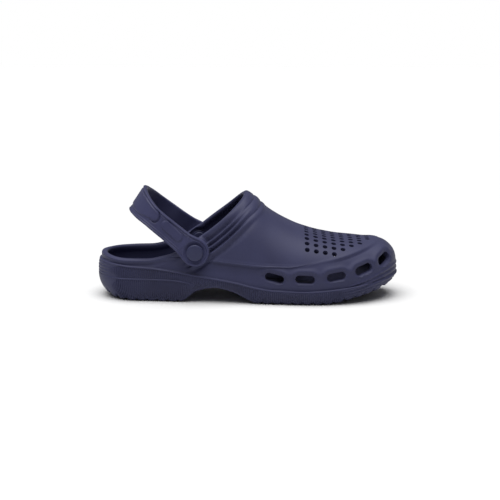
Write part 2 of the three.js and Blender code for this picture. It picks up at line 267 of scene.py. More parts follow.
def skin_columns():
    """The grid of the plain skin's points, and the points of the opening's edge."""
    ends, edges = [], []
    spread = np.linspace(0, 1, 320)
    stations = np.linspace(0, 1, COLUMNS + 1)
    for side in (-1, 1):
        outer, inner = outline(side, 0), outline(side, WALL)
        outer_edge = collar_edge(side, ridge_z, widest_z, 0)
        inner_edge = collar_edge(side, cavity_ridge, cavity_edge, WALL)
        soft = matched_shares(outer, outer_edge)
        edges.append(outer_edge)
        ends.append(
            list(
                zip(
                    along(outer, stations * lengths(outer)[-1]),
                    along(inner, stations * lengths(inner)[-1]),
                    along(outer_edge, soft * lengths(outer_edge)[-1]),
                    along(inner_edge, soft * lengths(inner_edge)[-1]),
                )
            )
        )

    def path(start, end, height, power_in=1.0, power_out=1.0):
        w = spread**power_in if power_in > 1 else 1 - (1 - spread) ** power_out
        x = start[0] + (end[0] - start[0]) * w
        y = start[1] + (end[1] - start[1]) * w
        return np.stack([x, y, height(x, y)], 1)

    def column(i, side_index):
        outer_foot, inner_foot, outer_rim, inner_rim = ends[side_index][i]
        opposite = ends[1 - side_index][i]
        sole_x = np.clip((outer_foot[0] + opposite[0][0]) / 2, *SPINE)
        bed_x = np.clip((inner_foot[0] + opposite[1][0]) / 2, *SPINE)
        # Under the sole and up the wall, with most rows where the detail is.
        sole = path((sole_x, centre_line(sole_x)), outer_foot, outer_bottom, power_out=2.4)
        sole_length = lengths(sole)[-1]

        def sole_density(s):
            return 0.5 + 0.7 * ease(sole_length - 32, sole_length - 24, s)

        at_sole = crowded(sole_density, ROWS["sole"] + 1, 0, sole_length)
        wall = path(outer_foot, outer_rim, outer_top, power_in=2.5)
        wall_length = lengths(wall)[-1]

        def wall_density(s):
            return 0.25 + 1.75 * (1 - ease(20, 30, wall_length - s)) + 0.75 * (1 - ease(36, 48, s))

        wall_stop = wall_length - min(ROLL["outside"], 0.3 * wall_length)
        at_wall = crowded(wall_density, ROWS["wall"], 0, wall_stop)
        # Down the inside and over the foot bed.
        roof = path(inner_rim, inner_foot, cavity_top, power_out=2.5)
        roof_length = lengths(roof)[-1]
        roof_start = min(ROLL["inside"], 0.3 * roof_length)
        at_roof = roof_start + (roof_length - roof_start) * np.linspace(0, 1, ROWS["roof"]) ** 1.25
        bed = path(inner_foot, (bed_x, centre_line(bed_x)), cavity_bottom, power_in=2.0)
        at_bed = lengths(bed)[-1] * np.linspace(0, 1, ROWS["footbed"] + 1)
        # The rim is one round curve from skin to skin.
        low, high = along(wall, [wall_stop])[0], along(roof, [roof_start])[0]
        lift_out = low + (wall[-1] - low) * ROLL["stretch"]
        lift_in = high + (roof[0] - high) * ROLL["stretch"]
        t = np.linspace(0, 1, ROWS["rim"] + 2)[1:-1, None]
        near_ends = (1 - t) ** 3 * low + t**3 * high
        rim = near_ends + 3 * t * (1 - t) ** 2 * lift_out + 3 * t**2 * (1 - t) * lift_in
        outside = [along(sole, at_sole)[:-1], along(wall, at_wall)]
        inside = [along(roof, at_roof), along(bed, at_bed)[1:]]
        return np.concatenate([*outside, rim, *inside])

    grid = [column(i, 0) for i in range(COLUMNS + 1)]
    grid += [column(i, 1) for i in range(COLUMNS - 1, 0, -1)]
    return np.array(grid), np.concatenate(edges)


def skin_normals(grid):
    """Outward normals of the wrapped grid of columns."""
    around = np.roll(grid, -1, 0) - np.roll(grid, 1, 0)
    up = np.gradient(grid, axis=1)
    normal = np.cross(around, up)
    size = np.linalg.norm(normal, axis=2, keepdims=True)
    return normal / np.maximum(size, 1e-9)


# ---- The shell's moulded detail, as heights over its plain skin ----
# The crease along the side, the top of the band round the sole and the top of the heel block.
feather_z = curve(
    (-75, 42.5), (-31, 40.6), (2, 37.4), (17, 36.4), (45, 36), (73, 40.6), (92, 45), (108, 49.8),
    (122, 54), (138, 57),
)
band_z = curve(
    (-142.5, 36.5), (-112, 34), (-84, 32.2), (-48, 26.7), (-11, 20.7), (8, 16.5), (26, 13.8), (54, 13.1),
    (82, 14.9), (110, 18.5), (130, 21.6), (142.5, 24),
)
block_z = curve((-127, 22.5), (-72, 22), (-53, 19.5), (-46, 17))
# The ribs beside the opening: [distance from its edge, height].
COLLAR_WIDTH = 27
side_collar = curve(
    (0, -0.2), (1.8, 1.3), (4.2, 0.5), (8.3, -2.3), (9.9, 0.5), (12.9, -2.2), (14.6, 1.2), (17.8, -2.4),
    (19.7, 1.4), (24.2, -1.5), (COLLAR_WIDTH, 0),
)
top_collar = curve(
    (0, 0.1), (4, 0.6), (8.6, 0.3), (10.1, -0.3), (11.6, 0.3), (14.2, 0.6), (17.2, 0.3), (18.7, -0.3),
    (20.1, 0.2), (22, 0.45), (25, 0),
)
heel_collar = curve((0, 0.4), (2.4, 1.1), (4.4, 0.3), (6.2, -0.5), (9, 0))
# Each vent: its middle along and up, its tilt in degrees and its height.
VENTS = [
    (25.5, 25.5, -13, 7.6), (53.8, 24.7, -2, 7.6), (83, 27.1, 9, 7.6), (109.3, 32.4, 17, 8.2),
    (130.5, 39.4, 21, 9.4),
]
VENT_LENGTH = 18.0
VENT_DEPTH = 30  # of the cutter that makes one
inner_drop = curve((90, 3.2), (125, 2))  # how much lower the vents of the inner side are
vent_tops = curve((10, 29), *[(x, z + 5.2) for x, z, _, _ in VENTS], (142, 48))
COVE, CREASE_LIP = 1.7, 0.3  # the cove's depth and the lip's height
BELT = 0.6  # the height of its crest
BAND_STEP, BAND_TAPER, BLOCK_STEP = 0.9, 0.07, 0.4  # the taper is for each millimetre down
TOE_RIDGES, TOE_RIDGE_HEIGHT = 5, 0.95
HEEL_GROOVES, HEEL_GROOVE_DEPTH = 5, 0.5
HEEL_GROOVES_FROM, HEEL_GROOVES_SPAN = 23, 15  # above the ground
SCOOP, VENT_LIP, BROW = 1.7, 1.1, 0.8  # the scoop's depth and the heights of the other two
RIM_SWELL = 1.2
TREAD_DEPTH, TREAD_PITCH, ZIGZAG = 1.5, 9.6, 3.2  # the zigzag is how far a groove swings


def slot_distance(a, b, half, radius):
    """Distance outside a slot with round ends."""
    return np.hypot(np.maximum(0, np.abs(a) - half), b) - radius


def vent_frame(x, side):
    """The wall's direction in plan beside a vent."""
    slope = (outline_y(x + 1, side, 0) - outline_y(x - 1, side, 0)) / 2
    return np.array([1, slope]) / np.hypot(1, slope)


def collar_relief(rim_distance, rim_x):
    """The bead and ribs beside the opening: deep at the sides, shallow on top, a bead only at the heel."""
    to_top = ease(-26, -6, rim_x)
    collar = (1 - to_top) * side_collar(rim_distance) + to_top * top_collar(rim_distance)
    ribbed = ease(-66, -56, rim_x)
    height = ribbed * collar + (1 - ribbed) * heel_collar(rim_distance)
    return height * (rim_distance < COLLAR_WIDTH)


def crease_relief(x, z, rim_distance):
    """The crease along the side, with a fine lip over it and a cove under it."""
    below = feather_z(x) - z
    reach = ease(-78, -58, x) * (1 - ease(112, 134, x)) * ease(4, 14, rim_distance)
    cove = ease(-0.2, 2.0, below) * (1 - ease(7, 19, below))
    filled = 0.95 * ease(2, 30, x) * (1 - ease(70, 96, x))  # over the vents
    return reach * (CREASE_LIP * bump(-0.8, 1.2, below) - COVE * cove * (1 - filled))


def belt_relief(x, z):
    """The forefoot's belt, with its crest along the tops of the vents."""
    crest = vent_tops(x)
    above = (feather_z(x) - z) / (feather_z(x) - crest)
    beneath = (crest - z) / (crest - band_z(x))
    belt = np.where(z > crest, np.clip(above, 0, 1) ** 1.4, 1 - 3.2 * np.clip(beneath, 0, 1))
    forefoot = ease(2, 34, x) * (1 - ease(84, 120, x)) * (z < feather_z(x))
    return BELT * forefoot * belt * (1 - ease(0, 1.5, band_z(x) - z))


def band_relief(x, z):
    """The band round the sole, which stands out and tapers in, and the heel block on it."""
    under = band_z(x) - z
    band = BAND_STEP * ease(-0.4, 0.4, under) - BAND_TAPER * np.clip(under, 0, 12)
    blocked = ease(-136, -126, x) * (1 - ease(-54, -46, x))
    return band + blocked * BLOCK_STEP * ease(-0.35, 0.35, block_z(x) - z)


def end_relief(x, z):
    """Ridges that wrap the toe and fine grooves behind the heel."""
    low = 4.5 + 6.5 * ease(80, 142, x)
    high = band_z(x) + 2 + 9 * ease(88, 142, x)
    level = (z - low) / (high - low)
    ridges = TOE_RIDGE_HEIGHT * (0.5 - 0.5 * np.cos(2 * np.pi * TOE_RIDGES * level)) ** 0.8 - 0.2
    toe = ease(84, 100, x) * ridges * (level > 0) * (level < 1)
    level = (z - HEEL_GROOVES_FROM) / HEEL_GROOVES_SPAN
    grooves = -HEEL_GROOVE_DEPTH * (0.5 + 0.5 * np.cos(2 * np.pi * HEEL_GROOVES * level)) ** 2
    heel = (1 - ease(-138, -124, x)) * grooves * (level > 0) * (level < 1)
    return toe + heel


def vent_relief(x, y, z):
    """A scoop round each vent, with a lip below and a brow above."""
    side = np.where(y < centre_line(x), -1.0, 1.0)
    height = np.zeros_like(z)
    for vent_x, vent_z, tilt, tall in VENTS:
        for vent_side in (-1, 1):
            along_wall = vent_frame(vent_x, vent_side)
            a = (x - vent_x) * along_wall[0] + (y - outline_y(vent_x, vent_side, 0)) * along_wall[1]
            b = z - vent_z + inner_drop(vent_x) * (vent_side > 0)
            turn = math.radians(-tilt)
            length_way = a * math.cos(turn) - b * math.sin(turn)
            height_way = a * math.sin(turn) + b * math.cos(turn)
            out = slot_distance(length_way, height_way, (VENT_LENGTH - tall) / 2, tall / 2)
            near = (side == vent_side) & (np.abs(length_way) < 24) & (np.abs(height_way) < 20)
            scoop = -SCOOP * (1 - ease(-1, 4.0, out))
            lip = VENT_LIP * bump(1.2, 0.8, out) * ease(-2, 3, -height_way + 0.15 * length_way)
            brow = BROW * bump(4.0, 2.2, out) * ease(0, 4, height_way)
            height = height + np.where(near, scoop + lip + brow, 0)
    return height


def wall_relief(p, n, rim_distance, rim_x):
    """All the wall's detail; the band and the ends keep to where the wall is upright."""
    x, y, z = p[..., 0], p[..., 1], p[..., 2]
    upright = ease(0.25, 0.6, np.hypot(n[..., 0], n[..., 1]))
    height = collar_relief(rim_distance, rim_x) + crease_relief(x, z, rim_distance) + belt_relief(x, z)
    return height + upright * (band_relief(x, z) + end_relief(x, z)) + vent_relief(x, y, z)


def tread(p, n):
    """Zigzag grooves across the underside and two along it, which run out at its edge and under the arch."""
    x, y = p[..., 0], p[..., 1]
    down = ease(0.35, 0.75, -n[..., 2])
    off = y - centre_line(x)
    zigzag = ZIGZAG * np.abs(((off / 15) % 2) - 1)
    phase = ((x + zigzag) / TREAD_PITCH) % 1
    across = 1 - ease(0.1, 0.19, np.abs(phase - 0.5))
    lengthways = bump(0, 1.5, np.abs(np.abs(off) - 17))
    clear_of_arch = (1 - ease(-62, -56, x)) + ease(6, 12, x)
    depth = TREAD_DEPTH * np.maximum(across, 0.9 * lengthways)
    return -down * clear_of_arch * depth * (share(x, y, 0) < 1)


# A flat seat round each rivet: flat inside the first radius, blended in outside it up to the second.
PAD_RADII, SEAT_RADII = (10.5, 15), (8.6, 11.5)


def distance_to_edge(grid, edge, rows):
    """For the first rows, the distance to the opening's edge and the x of its nearest point."""
    tree = KDTree(len(edge))
    for i, point in enumerate(edge):
        tree.insert(Vector(point), i)
    tree.balance()
    distance, edge_x = np.zeros(grid.shape[:2]), np.zeros(grid.shape[:2])
    for c in range(grid.shape[0]):
        for k in range(rows):
            _, nearest, gap = tree.find(Vector(grid[c, k]))
            distance[c, k] = gap
            edge_x[c, k] = edge[nearest][0]
    return distance, edge_x


def shaped_shell():
    """The skin with its detail, and the first row of each of its parts."""
    grid, edge = skin_columns()
    first, total = {}, 0
    for name, rows in ROWS.items():
        first[name] = total
        total += rows
    normals = skin_normals(grid)
    distance, edge_x = distance_to_edge(grid, edge, first["roof"])
    height = np.zeros(grid.shape[:2])
    wall = np.s_[:, : first["rim"]]
    height[wall] = wall_relief(grid[wall], normals[wall], distance[wall], edge_x[wall])
    sole = np.s_[:, : ROWS["sole"]]
    height[sole] += tread(grid[sole], normals[sole])
    # The rim is a little fuller than the skins it joins.
    height[:, first["rim"] : first["roof"]] = RIM_SWELL * ease(0.45, 1, np.linspace(0, 1, ROWS["rim"]))
    inside = grid[:, first["roof"] :]
    steps = np.linalg.norm(np.diff(inside, axis=1, prepend=inside[:, :1]), axis=2)
    height[:, first["roof"] :] = RIM_SWELL * (1 - ease(0.3, 4.5, np.cumsum(steps, axis=1)))
    shaped = grid + normals * height[..., None]
    # Flat seats round the two rivets, outside and inside.
    for side in (-1, 1):
        out = (shaped[..., 1] - PIVOT[1]) * side
        radius = np.hypot(shaped[..., 0] - PIVOT[0], shaped[..., 2] - PIVOT[2])
        on_side = out > 20
        outside = on_side.copy()
        outside[:, first["rim"] + ROWS["rim"] // 2 :] = False
        within = on_side & ~outside
        out = out + (PAD_FACE - out) * np.where(outside, 1 - ease(*PAD_RADII, radius), 0)
        out = out + (SOCKET_SEAT - out) * np.where(within, 1 - ease(*SEAT_RADII, radius), 0)
        shaped[..., 1] = np.where(on_side, PIVOT[1] + side * out, shaped[..., 1])
    return shaped, first


# ---- Making meshes ----
def select_nothing():
    if bpy.context.object and bpy.context.object.mode != "OBJECT":
        bpy.ops.object.mode_set(mode="OBJECT")
    bpy.ops.object.select_all(action="DESELECT")


def pick(*pieces):
    select_nothing()
    for piece in pieces:
        piece.select_set(True)
    bpy.context.view_layer.objects.active = pieces[0]


def close_up(piece):
    """Merges doubles and turns the faces outwards."""
    pick(piece)
    bpy.ops.object.mode_set(mode="EDIT")
    bpy.ops.mesh.select_all(action="SELECT")
    bpy.ops.mesh.remove_doubles(threshold=2e-6)
    bpy.ops.mesh.normals_make_consistent(inside=False)
    bpy.ops.object.mode_set(mode="OBJECT")


def wrapped_skin(name, points):
    """A sheet of columns and rows whose columns close into a tube."""
    columns, rows = points.shape[:2]
    select_nothing()
    bpy.ops.mesh.primitive_grid_add(x_subdivisions=rows - 1, y_subdivisions=columns, size=1)
    piece = bpy.context.object
    piece.name = name
    # The grid's vertices run along X first: a row for each column of the skin, and one to meet the first.
    placed = np.concatenate([points, points[:1]]).reshape(-1, 3) * MM
    piece.data.vertices.foreach_set("co", placed.astype(np.float32).ravel())
    piece.data.update()
    close_up(piece)
    return piece


def settle(piece):
    """Leaves the object at the origin, with its place in its mesh."""
    pick(piece)
    bpy.ops.object.transform_apply(location=True, rotation=True, scale=True)


def smooth(piece, degrees):
    pick(piece)
    bpy.ops.object.shade_smooth_by_angle(angle=math.radians(degrees))


def cut(piece, tool):
    pick(piece)
    modifier = piece.modifiers.new("cut", "BOOLEAN")
    modifier.operation = "DIFFERENCE"
    modifier.solver = "MANIFOLD"
    modifier.object = tool
    bpy.ops.object.modifier_apply(modifier=modifier.name)
    bpy.data.objects.remove(tool)


def joined(pieces, name):
    pick(*pieces)
    bpy.ops.object.join()
    piece = bpy.context.object
    piece.name = name
    return piece


def pin(radius, start, end, sides):
    """A round pin between two points."""
    start, end = Vector(start) * MM, Vector(end) * MM
    select_nothing()
    bpy.ops.mesh.primitive_cylinder_add(
        vertices=sides,
        radius=radius * MM,
        depth=(end - start).length,
        location=(start + end) / 2,
        rotation=(end - start).to_track_quat("Z", "Y").to_euler(),
    )
    piece = bpy.context.object
    settle(piece)
    return piece


def stem_pin(side, start, end):
    """A cutter for a rivet's stem, between two distances out from the pivot."""
    across = np.array([0, side, 0])
    return pin(STEM_HOLE, PIVOT + across * start, PIVOT + across * end, 32)


# ---- The shell ----
def vent_cutter(vent, side):
    """A slot with round ends, across the wall."""
    x, z, tilt, tall = vent
    z = z - float(inner_drop(x)) * (side > 0)
    select_nothing()
    bpy.ops.mesh.primitive_cylinder_add(vertices=40, radius=tall / 2 * MM, depth=VENT_DEPTH * MM)
    slot = bpy.context.object
    stretch = (VENT_LENGTH - tall) / 2 * MM
    for vertex in slot.data.vertices:
        vertex.co.x += stretch * (1 if vertex.co.x > 1e-7 else -1)
    along_wall = vent_frame(x, side)
    turn = Matrix.Rotation(math.atan2(along_wall[1], along_wall[0]), 4, "Z")
    turn = turn @ Matrix.Rotation(math.pi / 2, 4, "X") @ Matrix.Rotation(math.radians(tilt), 4, "Z")
    slot.matrix_world = Matrix.Translation((x * MM, float(outline_y(x, side, 0)) * MM, z * MM)) @ turn
    settle(slot)
    return slot


HOLE_COLUMNS = [7, 7, 7, 7, 6, 5, 4, 2]  # holes on each side of the ridge
HOLE_START, HOLE_STEP, HOLE_ROW, HOLE_RADIUS = 56.0, 8.3, 7.55, 2.35
HOLE_UPRIGHT = 0.8  # how far a hole turns from the skin's normal to straight up
HOLE_BELOW, HOLE_ABOVE = 8, 5  # how far the cutter reaches from the skin


def hole_cutters():
    """Pins in straight columns across the top of the forefoot."""
    pins = []
    up = np.array([0, 0, HOLE_UPRIGHT])
    for k, count in enumerate(HOLE_COLUMNS):
        x = HOLE_START + k * HOLE_STEP
        for side in (-1, 1):
            y = centre_line(x) + side * np.linspace(0, 0.97 * half_width(x, side, 0), 500)
            xs = np.full_like(y, x)
            section = np.stack([xs, y, outer_top(xs, y)], 1)
            for m in range(count):
                point = along(section, [HOLE_ROW * (m + 0.5)])[0]
                px, py = point[0], point[1]
                across = np.array([0, 1, float(outer_top(px, py + 0.5) - outer_top(px, py - 0.5))])
                ahead = np.array([1, 0, float(outer_top(px + 0.5, py) - outer_top(px - 0.5, py))])
                normal = np.cross(ahead, across)
                way = normal / np.linalg.norm(normal) + up
                way = way / np.linalg.norm(way)
                pins.append(pin(HOLE_RADIUS, point - way * HOLE_BELOW, point + way * HOLE_ABOVE, 20))
    return pins


shell_grid, first_row = shaped_shell()
shell = wrapped_skin("shell", shell_grid)
cutters = [vent_cutter(vent, side) for vent in VENTS for side in (-1, 1)]
cutters += hole_cutters()
cutters += [stem_pin(side, 28.0, 44.0) for side in (-1, 1)]
cut(shell, joined(cutters, "cutters"))
smooth(shell, 38)


# ---- Fine upright ribs on the band and the heel block, and the moulded lines round the wall ----
RIB_PITCH, RIB_WIDTH, RIB_HEIGHT = 1.9, 0.95, 0.85
RIB_ROOT, LINE_ROOT = 0.3, 0.4  # how deep each is sunk into the wall
BLOCK_FRONT = -50


def wall_point(column, z):
    """The point of the finished wall at a column and a height, or None below its lowest row."""
    low = int(math.floor(column))
    part = column - low
    count = shell_grid.shape[0]
    rows = slice(ROWS["sole"] // 3, first_row["rim"])  # with the part that rounds under the sole
    strip = (1 - part) * shell_grid[low % count, rows] + part * shell_grid[(low + 1) % count, rows]
    k = int(np.argmax(strip[:, 2] > z))
    if k == 0:
        return None
    t = (z - strip[k - 1, 2]) / (strip[k, 2] - strip[k - 1, 2])
    return strip[k - 1] + (strip[k] - strip[k - 1]) * t


def unit(vector):
    return vector / np.linalg.norm(vector)


def strength_at(x, x_from, x_to, fade):
    """1 along the middle of a run, falling to 0 at both of its ends."""
    return float(ease(x_from, x_from + fade, x) * (1 - ease(x_to - fade, x_to, x)))


def add_bar(vertices, faces, rings):
    """Adds a closed bar that joins rings of corners."""
    start, size = len(vertices), len(rings[0])
    for corners in rings:
        vertices.extend(corners)
    for k in range(len(rings) - 1):
        for c in range(size):
            a, b = start + size * k + c, start + size * k + (c + 1) % size
            faces.append((a, b, b + size, a + size))
    last = start + size * (len(rings) - 1)
    faces.append(tuple(range(start + size - 1, start - 1, -1)))
    faces.append(tuple(range(last, last + size)))


def wall_trim(name, vertices, faces):
    """A piece made straight from its points, because it follows the finished wall."""
    mesh = bpy.data.meshes.new(name)
    mesh.from_pydata((np.array(vertices) * MM).tolist(), [], faces)
    piece = bpy.data.objects.new(name, mesh)
    bpy.context.scene.collection.objects.link(piece)
    pick(piece)
    bpy.ops.object.mode_set(mode="EDIT")
    bpy.ops.mesh.select_all(action="SELECT")
    bpy.ops.mesh.normals_make_consistent(inside=False)
    bpy.ops.object.mode_set(mode="OBJECT")
    smooth(piece, 50)
    return piece


def rib_corners(column, z, rise):
    """The section of an upright rib at a height, or None where the wall ends."""
    here, lower = wall_point(column, z), wall_point(column, z - 0.4)
    left, right = wall_point(column - 0.4, z), wall_point(column + 0.4, z)
    if any(point is None for point in (here, lower, left, right)):
        return None
    sideways = unit(right - left)
    normal = unit(np.cross(sideways, here - lower))
    half = RIB_WIDTH / 2
    return [
        here - sideways * half - normal * RIB_ROOT,
        here - sideways * half * 0.55 + normal * rise,
        here + sideways * half * 0.55 + normal * rise,
        here + sideways * half - normal * RIB_ROOT,
    ]


def upright_ribs(name, top, bottom, x_from, x_to, fade):
    """Ribs at an even pitch round the wall, shorter and lower towards the ends of their run."""
    vertices, faces = [], []
    count = shell_grid.shape[0]
    equator = shell_grid[:, first_row["wall"]]
    loop = np.concatenate([equator, equator[:1]])
    at = lengths(loop[:, :2])
    number = int(at[-1] // RIB_PITCH)
    for i in range(number):
        column = float(np.interp(i * at[-1] / number, at, np.arange(count + 1)))
        x = float(np.interp(column, np.arange(count + 1), loop[:, 0]))
        if not x_from < x < x_to:
            continue
        strength = strength_at(x, x_from, x_to, fade)
        middle = (float(top(x)) + float(bottom(x))) / 2
        half = (float(top(x)) - middle) * (0.35 + 0.65 * strength)
        if half < 1:
            continue
        rise = RIB_HEIGHT * (0.25 + 0.75 * strength)
        rings = []
        for z in np.linspace(middle - half, middle + half, 6):
            corners = rib_corners(column, z, rise)
            if corners is None:
                break
            rings.append(corners)
        if len(rings) >= 3:
            add_bar(vertices, faces, rings)
    return wall_trim(name, vertices, faces)


def moulded_line(name, line, x_from, x_to, fade, width, rise):
    """A fine raised line round both sides of the wall."""
    count = shell_grid.shape[0]
    equator = shell_grid[:, first_row["wall"], 0]
    vertices, faces = [], []
    for columns in (np.arange(0, COLUMNS + 0.5, 0.5), np.arange(count, COLUMNS - 0.5, -0.5)):
        rings = []
        for column in columns:
            low = int(column)
            x = equator[low % count] + (column - low) * (equator[(low + 1) % count] - equator[low % count])
            if not x_from < x < x_to:
                continue
            z = float(line(x))
            here, ahead = wall_point(column, z), wall_point(column + 0.5, z)
            over, under = wall_point(column, z + 0.5), wall_point(column, z - 0.5)
            if any(point is None for point in (here, ahead, over, under)):
                continue
            up = unit(over - under)
            normal = unit(np.cross(ahead - here, up))
            strength = strength_at(x, x_from, x_to, fade)
            half, height = width / 2 * (0.4 + 0.6 * strength), rise * (0.05 + 0.95 * strength)
            rings.append(
                [
                    here - up * half - normal * LINE_ROOT,
                    here - up * half * 0.6 + normal * height * 0.75,
                    here + normal * height,
                    here + up * half * 0.6 + normal * height * 0.75,
                    here + up * half - normal * LINE_ROOT,
                ]
            )
        add_bar(vertices, faces, rings)
    return wall_trim(name, vertices, faces)


def band_foot(x):
    """Where the band's ribs end: on the heel block, and in front of it just above the sole."""
    return block_z(x) + 1.0 if x < BLOCK_FRONT else float(sole_z(x)) + 2.6


band_ribs = upright_ribs("band_ribs", lambda x: band_z(x) - 1.3, band_foot, -130, 98, 14)
lines = [
    moulded_line("feather_line", lambda x: feather_z(x) + 0.1, -78, 74, 30, 1.9, 0.9),
    moulded_line("band_line", lambda x: band_z(x) - 0.6, -139, 118, 16, 2.2, 1.2),
    moulded_line("block_line", lambda x: block_z(x) - 0.6, -130, -46, 14, 1.9, 1.0),
]
heel_ribs = upright_ribs(
    "heel_block_ribs", lambda x: block_z(x) - 1.1, lambda x: sole_z(x) + 3.2, -128, -49, 8
)


# ---- The heel strap ----
# Drawn lying flat: a runs along it from the rivets, o is the distance out from its middle, c is up.
STRAP_THICK = 4.4
STRAP_ARM = 44.1  # how far out the middle of an arm is at the rivet
STRAP_RAISED = 41.5  # degrees
STRAP_END = 13.2  # the radius of the round end about the rivet
STRAP_LINE = [
    (-16, STRAP_ARM), (-3, STRAP_ARM), (4, STRAP_ARM), (10, STRAP_ARM), (14, 43.6), (21, 41.6), (31, 39.4),
    (42, 38), (52, 34.6), (60, 28), (66.3, 19.2), (70.6, 9.8),
]
STRAP_APEX = 72.2
strap_upper = curve((-10, STRAP_END), (0, STRAP_END), (16, 9.7), (32, 8.2), (52, 7.1), (66, 8.2), (76, 9.6))
strap_lower = curve(
    (-10, -STRAP_END), (0, -STRAP_END), (16, -11.2), (32, -11.5), (50, -12.7), (66, -16.2), (76, -18.2)
)
STRAP_BLUR = 61  # samples over which its line is smoothed
ARM_COLUMNS, END_COLUMNS = 300, 44
STRAP_ROWS = {"outside": 30, "inside": 14}
EDGE_ROUND = 1.5
BACK_SLANT = 0.13  # how far the back leans for each millimetre up
ARM_TILT = 0.09  # how far an arm stands out for each millimetre down, to turn its face up a little
RIVET_DISH, DISH_WALL = 7.9, 2.7  # the hollow round the rivet's head: its radius and how far its wall slopes
PAD_FROM, PAD_TO, PAD_HALF = 16.5, 41.5, 4.3
PANEL_FROM, PANEL_CORNER = 46.5, 4.2


def spline(points, count):
    """A smooth line through the points."""
    p = np.array(points, float)
    p = np.concatenate([p[:1], p, p[-1:]])
    out = []
    spans = len(p) - 3
    for s in np.linspace(0, spans, count):
        i = min(int(s), spans - 1)
        t = s - i
        a, b, c, d = p[i : i + 4]
        squared, cubed = 2 * a - 5 * b + 4 * c - d, 3 * b - a - 3 * c + d
        out.append(0.5 * ((2 * b) + (c - a) * t + squared * t**2 + cubed * t**3))
    return np.array(out)


def strap_line():
    """The strap's middle line, evenly spaced and softened."""
    loop = STRAP_LINE + [(STRAP_APEX, 0)] + [(a, -o) for a, o in reversed(STRAP_LINE)]
    line = spline(loop, 4000)
    even = along(line, np.linspace(0, lengths(line)[-1], 3001))
    kernel = np.hanning(STRAP_BLUR)
    kernel /= kernel.sum()
    half = STRAP_BLUR // 2
    before = 2 * even[:1] - even[half:0:-1]
    after = 2 * even[-1:] - even[-2 : -half - 2 : -1]
    padded = np.concatenate([before, even, after])
    return np.stack([np.convolve(padded[:, k], kernel, "valid") for k in range(2)], 1)[: len(even)]


def strap_rim(total, high, low):
    """The strap's outline and the line inside it that each of its points faces, as (u, c) pairs."""
    middle = (high + low) / 2
    u = np.linspace(0, total, ARM_COLUMNS + 1)
    near, far = np.zeros(END_COLUMNS - 1), np.full(END_COLUMNS - 1, float(total))
    turn = np.radians(np.linspace(90, -90, END_COLUMNS + 1)[1:-1])
    back = np.radians(np.linspace(270, 90, END_COLUMNS + 1)[1:-1])
    # Along the upper edge, round the far end, back along the lower edge and round the near end.
    rim_u = [u, far + STRAP_END * np.cos(turn), u[::-1], STRAP_END * np.cos(back)]
    rim_c = [high, STRAP_END * np.sin(turn), low[::-1], STRAP_END * np.sin(back)]
    core_u = [u, far, u[::-1], near]
    core_c = [middle, near, middle[::-1], near]
    rim = np.stack([np.concatenate(rim_u), np.concatenate(rim_c)], 1)
    core = np.stack([np.concatenate(core_u), np.concatenate(core_c)], 1)
    return rim, core


def strap_relief(reach, c, d):
    """The outside's detail: reach is the distance from the nearer rivet, d the distance from the outline."""
    r = np.hypot(reach, c)
    edge = (0.4 * bump(1.0, 0.75, d) - 0.65 * bump(2.6, 0.55, d)) * (0.65 + 0.35 * ease(-1, 1, c))
    dish = 1 - np.clip((r - RIVET_DISH) / DISH_WALL, 0, 1)
    ring = (0.4 * bump(11.0, 0.6, r) - 1.0 * dish) * (1 - ease(6, 18, reach))
    # A raised pad along the arm.
    pad_middle, pad_length = (PAD_FROM + PAD_TO) / 2, (PAD_TO - PAD_FROM) / 2
    pad = slot_distance(reach - pad_middle, c - 0.4, pad_length - PAD_HALF, PAD_HALF)
    # A raised panel round the back, with round corners at its ends.
    widen = ease(48, 72, reach)
    top, bottom = 4.6 + 1.2 * widen, -4.6 - 6.4 * widen
    dx = np.maximum(0, PANEL_FROM + PANEL_CORNER - reach)
    dy = np.maximum(0, np.abs(c - (top + bottom) / 2) - ((top - bottom) / 2 - PANEL_CORNER))
    panel = np.hypot(dx, dy) - PANEL_CORNER
    sunk = 0.55 * ease(12, 15, reach) * ease(3.2, 4.2, d)
    raised = 0.7 * (1 - ease(-0.7, 0.2, pad)) + 0.8 * (1 - ease(-0.7, 0.2, panel))
    outlined = 0.35 * bump(0.7, 0.6, pad) + 1.2 * bump(0.8, 0.7, panel) * (1 - ease(48.5, 54, reach))
    return edge + ring - sunk + raised - outlined


